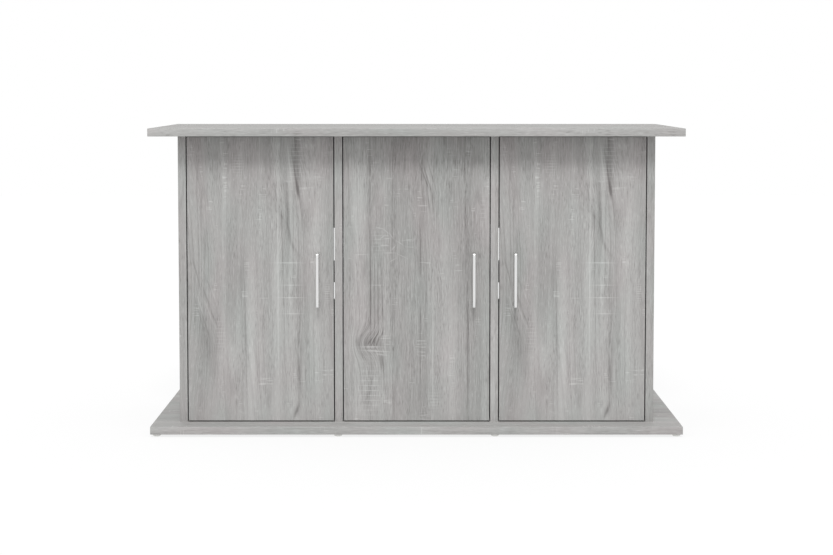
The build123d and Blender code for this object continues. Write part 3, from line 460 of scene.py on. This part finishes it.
# ---- Handles ---------------------------------------------------------------------------------------
# Slim upright bows of die-cast zinc alloy, rubbed to a satin and chrome plated, at half height beside
# each door's free edge. Two screws through the door hold the posts.
BAR_THICK = 5.5 * MM
POST_HEIGHT = 9.0 * MM
OUTER_BEND = 4.0 * MM
INNER_BEND = 3.0 * MM
RUBBED_EDGE = 0.9 * MM
TINY = 0.05 * MM


def select(piece, kind, wanted):
    """In edit mode, selects the piece's vertices, edges or faces for which wanted is true."""
    bpy.ops.object.mode_set(mode="OBJECT")
    for group in (piece.data.vertices, piece.data.edges, piece.data.polygons):
        group.foreach_set("select", [False] * len(group))
    for element in getattr(piece.data, kind):
        element.select = wanted(element)
    bpy.ops.object.mode_set(mode="EDIT")
    bpy.ops.mesh.select_mode(type={"vertices": "VERT", "edges": "EDGE", "polygons": "FACE"}[kind])


def runs_at(piece, edge, y, z):
    """Whether an edge lies along X at this y and at this height or its opposite below the middle."""
    ends = [piece.data.vertices[number].co for number in edge.vertices]
    middle = (ends[0] + ends[1]) / 2
    flat = abs(ends[0].z - ends[1].z) < TINY and abs(ends[0].y - ends[1].y) < TINY
    return flat and abs(middle.y - y) < TINY and abs(abs(middle.z - handle_middle.z) - z) < TINY


low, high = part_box("left_handle")
handle_middle = (low + high) / 2
width, reach, length = high - low
bar_back = low.y + BAR_THICK
bar_middle = (handle_middle.x, low.y + BAR_THICK / 2, handle_middle.z)
bpy.ops.mesh.primitive_cube_add(size=1, location=bar_middle)
handle = bpy.context.object
handle.name = "left_handle_bow"
handle.scale = (width, BAR_THICK, length)
bpy.ops.object.transform_apply(location=True, rotation=True, scale=True)
# cut the bar where the posts begin, and pull the posts out of its back
for side in (-1, 1):
    select(handle, "polygons", lambda face: True)
    cut = (handle_middle.x, handle_middle.y, handle_middle.z + side * (length / 2 - POST_HEIGHT))
    bpy.ops.mesh.bisect(plane_co=cut, plane_no=(0, 0, 1))
select(
    handle, "polygons",
    lambda face: face.normal.y > 0.9 and abs(face.center.z - handle_middle.z) > length / 2 - POST_HEIGHT,
)
bpy.ops.mesh.extrude_region_move(TRANSFORM_OT_translate={"value": (0, reach - BAR_THICK, 0)})
select(handle, "edges", lambda edge: runs_at(handle, edge, low.y, length / 2))
bpy.ops.mesh.bevel(offset=OUTER_BEND, segments=8)
select(handle, "edges", lambda edge: runs_at(handle, edge, bar_back, length / 2 - POST_HEIGHT))
bpy.ops.mesh.bevel(offset=INNER_BEND, segments=8)
bpy.ops.object.mode_set(mode="OBJECT")
rubbed = handle.modifiers.new("rubbed edges", "BEVEL")
rubbed.width = RUBBED_EDGE
rubbed.segments = 3
rubbed.limit_method = "ANGLE"
bpy.ops.object.modifier_apply(modifier=rubbed.name)
bpy.ops.object.shade_smooth_by_angle(angle=math.radians(40))

# Satin chrome over zinc alloy: rubbing lines along the bow make soft, slightly streaked highlights.
# Real ones are a few hundredths of a millimetre wide. These are drawn coarser, so that they show.
RUBBING_LENGTH = 18.0 * MM
RUBBING_WIDTH = 0.35 * MM
satin_chrome, tree = new_finish("satin_chrome_on_zinc")
place = add_node(tree, "TexCoord", {}, {}, 3)
rubbing = add_node(
    tree, "Mapping", {}, {0: place, 3: (1 / RUBBING_WIDTH, 1 / RUBBING_WIDTH, 1 / RUBBING_LENGTH)}
)
rubbing = add_node(tree, "TexNoise", {}, {"Vector": rubbing, "Scale": 1.0, "Detail": 2.0})
colour = add_node(tree, "ValToRGB", {}, {0: rubbing})
colour.node.color_ramp.elements[0].color = linear("#dadad9")
colour.node.color_ramp.elements[1].color = linear("#e6e6e6")
shine = add_node(tree, "MapRange", {}, {0: rubbing, 1: 0.3, 2: 0.7, 3: 0.28, 4: 0.38})
relief = add_node(tree, "Bump", {}, {"Strength": 0.3, "Distance": 0.02 * MM, "Height": rubbing})
shader = add_node(
    tree, "BsdfPrincipled", {},
    {"Base Color": colour, "Metallic": 1.0, "Roughness": shine, "Normal": relief},
)
add_node(tree, "OutputMaterial", {}, {0: shader}, None)
handle.data.materials.append(satin_chrome)

for bay in BAYS:
    bow = handle
    if bay != "left":
        bpy.ops.object.select_all(action="DESELECT")
        handle.select_set(True)
        bpy.context.view_layer.objects.active = handle
        bpy.ops.object.duplicate()
        bow = bpy.context.object
        bow.name = bay + "_handle_bow"
        low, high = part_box(bay + "_handle")
        bpy.ops.transform.translate(value=(low + high) / 2 - handle_middle)
        bpy.ops.object.transform_apply(location=True, rotation=True, scale=True)
    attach(bow, bay + "_door")
    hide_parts(bay + "_handle")
bpy.ops.object.select_all(action="DESELECT")

# ---- Feet ------------------------------------------------------------------------------------------
# Eight pale polyethylene glides, greyed with painted shade, 16 mm across and 5 mm high, with a moulded
# stem that is pressed into the underside of the base board. Each narrows to a small sole, which is dished.
FOOT_RIM = 8.0 * MM
FOOT_SOLE = 4.8 * MM
SOLE_EDGE = 1.2 * MM
FOOT_DISH = 0.6 * MM
FOOT_EASE = 0.4 * MM
STEM_RADIUS = 1.9 * MM
STEM_TOP = 13.6 * MM
STEM_TAPER = 0.6 * MM
STEM_TIP = 0.4 * MM
FOOT_HEIGHT = 5.0 * MM
low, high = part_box("feet")
bpy.ops.mesh.primitive_cylinder_add(
    vertices=48, radius=FOOT_RIM, depth=FOOT_HEIGHT,
    location=(low.x + FOOT_RIM, low.y + FOOT_RIM, low.z + FOOT_HEIGHT / 2),
)
foot = bpy.context.object
foot.name = "front_left_foot"
bpy.ops.object.transform_apply(location=True, rotation=True, scale=True)
# the sole: rounded in from the rim, with a shallow dish inside
select(foot, "polygons", lambda face: face.normal.z < -0.9)
bpy.ops.mesh.bevel(offset=FOOT_RIM - FOOT_SOLE, segments=5)
select(foot, "polygons", lambda face: face.normal.z < -0.9 and len(face.vertices) > 4)
bpy.ops.mesh.inset(thickness=SOLE_EDGE)
bpy.ops.mesh.inset(thickness=FOOT_DISH)
bpy.ops.transform.translate(value=(0, 0, FOOT_DISH))
# the rim's upper edge is eased, and the stem rises from the top
select(foot, "polygons", lambda face: face.normal.z > 0.9)
bpy.ops.mesh.bevel(offset=FOOT_EASE, segments=2)
select(foot, "polygons", lambda face: face.normal.z > 0.9 and len(face.vertices) > 4)
bpy.ops.mesh.inset(thickness=FOOT_RIM - FOOT_EASE - STEM_RADIUS)
bpy.ops.mesh.extrude_region_move(TRANSFORM_OT_translate={"value": (0, 0, STEM_TOP - FOOT_HEIGHT)})
bpy.ops.mesh.inset(thickness=STEM_TAPER)
bpy.ops.transform.translate(value=(0, 0, STEM_TIP))
bpy.ops.object.mode_set(mode="OBJECT")
bpy.ops.object.shade_smooth_by_angle(angle=math.radians(35))

# Moulded polyethylene: a waxy, slightly cloudy grey with a fine orange-peel skin from the mould. The grey
# is partly the plastic's own pale tone and partly painted shade, for the shade under the base board.
SKIN_GRAIN = 0.8 * MM
CLOUDS = 6.0 * MM
pale_plastic, tree = new_finish("moulded_polyethylene_with_painted_shade")
place = add_node(tree, "TexCoord", {}, {}, 3)
grain = add_node(tree, "TexNoise", {}, {"Vector": place, "Scale": 1 / SKIN_GRAIN, "Detail": 2.0})
cloudy = add_node(tree, "TexNoise", {}, {"Vector": place, "Scale": 1 / CLOUDS, "Detail": 1.0})
colour = add_node(tree, "ValToRGB", {}, {0: cloudy})
colour.node.color_ramp.elements[0].color = linear("#cbcbc8")
colour.node.color_ramp.elements[1].color = linear("#d6d6d3")
shine = add_node(tree, "MapRange", {}, {0: grain, 3: 0.36, 4: 0.48})
relief = add_node(tree, "Bump", {}, {"Strength": 0.3, "Distance": 0.03 * MM, "Height": grain})
shader = add_node(
    tree, "BsdfPrincipled", {}, {"Base Color": colour, "Roughness": shine, "IOR": 1.51, "Normal": relief}
)
add_node(tree, "OutputMaterial", {}, {0: shader}, None)
foot.data.materials.append(pale_plastic)

# one under each side of the base board and under each partition, in a front and a back row
partitions = [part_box(side + "_partition") for side in ("left", "right")]
under_partitions = [(left.x + right.x) / 2 for left, right in partitions]
columns = (low.x + FOOT_RIM, *under_partitions, high.x - FOOT_RIM)
rows = (("front", low.y + FOOT_RIM), ("back", high.y - FOOT_RIM))
for row, y in rows:
    for column, x in zip(("left", "middle_left", "middle_right", "right"), columns):
        name = f"{row}_{column}_foot"
        glide = foot
        if name != foot.name:
            bpy.ops.object.select_all(action="DESELECT")
            foot.select_set(True)
            bpy.context.view_layer.objects.active = foot
            bpy.ops.object.duplicate()
            glide = bpy.context.object
            glide.name = name
            bpy.ops.transform.translate(value=(x - columns[0], y - rows[0][1], 0))
            bpy.ops.object.transform_apply(location=True, rotation=True, scale=True)
        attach(glide, "carcass")
        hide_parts("feet")
bpy.ops.object.select_all(action="DESELECT")


# ---- Hinges ----------------------------------------------------------------------------------------
# Cup hinges pressed from mild steel sheet and nickel plated: a cup let into the door, an arm that hooks
# into it, and a plate on the panel. A pin across the cup carries the arm, over a flat closing spring.
def mottled_metal(name, dark, light, low_roughness, high_roughness, blotch, ripple):
    """A metal whose gloss is blotched and whose skin ripples, at two sizes in metres."""
    finish, tree = new_finish(name)
    place = add_node(tree, "TexCoord", {}, {}, 3)
    cloudy = add_node(tree, "TexNoise", {}, {"Vector": place, "Scale": 1 / blotch, "Detail": 3.0})
    fine = add_node(tree, "TexNoise", {}, {"Vector": place, "Scale": 1 / ripple, "Detail": 2.0})
    colour = add_node(tree, "ValToRGB", {}, {0: cloudy})
    colour.node.color_ramp.elements[0].color = linear(dark)
    colour.node.color_ramp.elements[1].color = linear(light)
    shine = add_node(
        tree, "MapRange", {}, {0: cloudy, 1: 0.3, 2: 0.7, 3: low_roughness, 4: high_roughness}
    )
    relief = add_node(tree, "Bump", {}, {"Strength": 0.25, "Distance": 0.02 * MM, "Height": fine})
    shader = add_node(
        tree, "BsdfPrincipled", {},
        {"Base Color": colour, "Metallic": 1.0, "Roughness": shine, "Normal": relief},
    )
    add_node(tree, "OutputMaterial", {}, {0: shader}, None)
    return finish


# Bright nickel on pressed steel: a warm grey mirror, softened by the drawing marks of the press.
nickel = mottled_metal("bright_nickel_on_steel", "#b9b3aa", "#cbc6be", 0.16, 0.28, 5.0 * MM, 0.7 * MM)
wear(nickel, "hinge_plates", "hinge_arms")
for bay in BAYS:
    wear(nickel, bay + "_hinge_cups", bay + "_hinge_pins", bay + "_hinge_springs")

# ---- Screws, bolts and shelf pins ------------------------------------------------------------------
# Turned and rolled steel with bright zinc plating: the cross-headed screws of the hinges and handles,
# the bolts of the cam joints, the rails' screws, and the 5 mm pins that each shelf lies on.

# Bright zinc over steel: a cool pale grey mirror, a little hazier than the nickel.
zinc = mottled_metal("bright_zinc_on_steel", "#a9adb3", "#c4c7cb", 0.22, 0.36, 2.5 * MM, 0.4 * MM)
wear(zinc, "hinge_plate_screws", "hinge_arm_screws", "cam_bolts", "back_rail_screws", "shelf_pins")
for bay in BAYS:
    wear(zinc, bay + "_handle_screws", bay + "_hinge_cup_screws")

# ---- Cam locks -------------------------------------------------------------------------------------
# Die-cast zinc cams, 15 mm across, let into the inner faces of the panels and rails, and turned with a
# cross driver until they pull the bolt's head tight. As cast, they are dull grey with a fine grain.
cast_zinc = mottled_metal("die_cast_zinc", "#7d7e80", "#97989a", 0.42, 0.58, 3.0 * MM, 0.5 * MM)
wear(cast_zinc, "cam_locks")

# ---- Dowels ----------------------------------------------------------------------------------------
# Beech dowels, 8 mm across, glued into one board and pushed into the next. Almost none of them shows.
BEECH_FIBRE_LENGTH = 9.0 * MM
BEECH_FIBRE_WIDTH = 0.5 * MM
# Beech: a warm tan, with fibres up the standing dowels that are drawn coarser than real ones.
beech, tree = new_finish("beech_dowel")
place = add_node(tree, "TexCoord", {}, {}, 3)
fibre = add_node(
    tree, "Mapping", {},
    {0: place, 3: (1 / BEECH_FIBRE_WIDTH, 1 / BEECH_FIBRE_WIDTH, 1 / BEECH_FIBRE_LENGTH)},
)
fibre = add_node(tree, "TexNoise", {}, {"Vector": fibre, "Scale": 1.0, "Detail": 2.0})
colour = add_node(tree, "ValToRGB", {}, {0: fibre})
colour.node.color_ramp.elements[0].color = linear("#a87f58")
colour.node.color_ramp.elements[1].color = linear("#cfab83")
relief = add_node(tree, "Bump", {}, {"Strength": 0.3, "Distance": 0.1 * MM, "Height": fibre})
shader = add_node(
    tree, "BsdfPrincipled", {}, {"Base Color": colour, "Roughness": 0.65, "IOR": 1.5, "Normal": relief}
)
add_node(tree, "OutputMaterial", {}, {0: shader}, None)
wear(beech, "dowels")

# ---- Floor, light and camera -----------------------------------------------------------------------
# A wide table of opal acrylic, lit from beneath, under an even white sky. One broad soft light, high in
# front, throws the top board's shade on to the doors.
FLOOR_SIZE = 14.0
FLOOR_GLOW = 0.78
SKY_GLOW = 1.0
LAMP_HEIGHT = 51  # degrees above the horizon
LAMP_SPREAD = 17  # degrees, which sets how soft the shade's edge is
LAMP_STRENGTH = 1.8
CAMERA_DISTANCE = 3.408
CAMERA_HEIGHT = 0.6606
CAMERA_TILT = 3.555  # degrees downwards
CAMERA_LENS = 73.82
CAMERA_SHIFT = -0.10

bpy.ops.mesh.primitive_plane_add(size=FLOOR_SIZE, location=(0, 0, 0))
floor = bpy.context.object
floor.name = "floor"
light_table, tree = new_finish("opal_acrylic_light_table")
matt = add_node(tree, "BsdfDiffuse", {}, {0: linear("#707070")})
glow = add_node(tree, "Emission", {}, {0: linear("#ffffff"), 1: FLOOR_GLOW})
shader = add_node(tree, "AddShader", {}, {0: matt, 1: glow})
add_node(tree, "OutputMaterial", {}, {0: shader}, None)
floor.data.materials.append(light_table)

sky = bpy.data.worlds.new("white_studio")
bpy.context.scene.world = sky
sky.use_nodes = True
backdrop = sky.node_tree.nodes["Background"]
backdrop.inputs[0].default_value = linear("#ffffff")
backdrop.inputs[1].default_value = SKY_GLOW

bpy.ops.object.light_add(
    type="SUN", location=(0, -2.4, 3.3), rotation=(math.radians(90 - LAMP_HEIGHT), 0, 0)
)
lamp = bpy.context.object
lamp.data.angle = math.radians(LAMP_SPREAD)
lamp.data.energy = LAMP_STRENGTH

bpy.ops.object.camera_add(
    location=(0, -CAMERA_DISTANCE, CAMERA_HEIGHT), rotation=(math.radians(90 - CAMERA_TILT), 0, 0)
)
camera = bpy.context.object
camera.data.lens = CAMERA_LENS
camera.data.sensor_width = 36
camera.data.shift_y = CAMERA_SHIFT
bpy.context.scene.camera = camera
bpy.context.scene.view_settings.view_transform = "Standard"
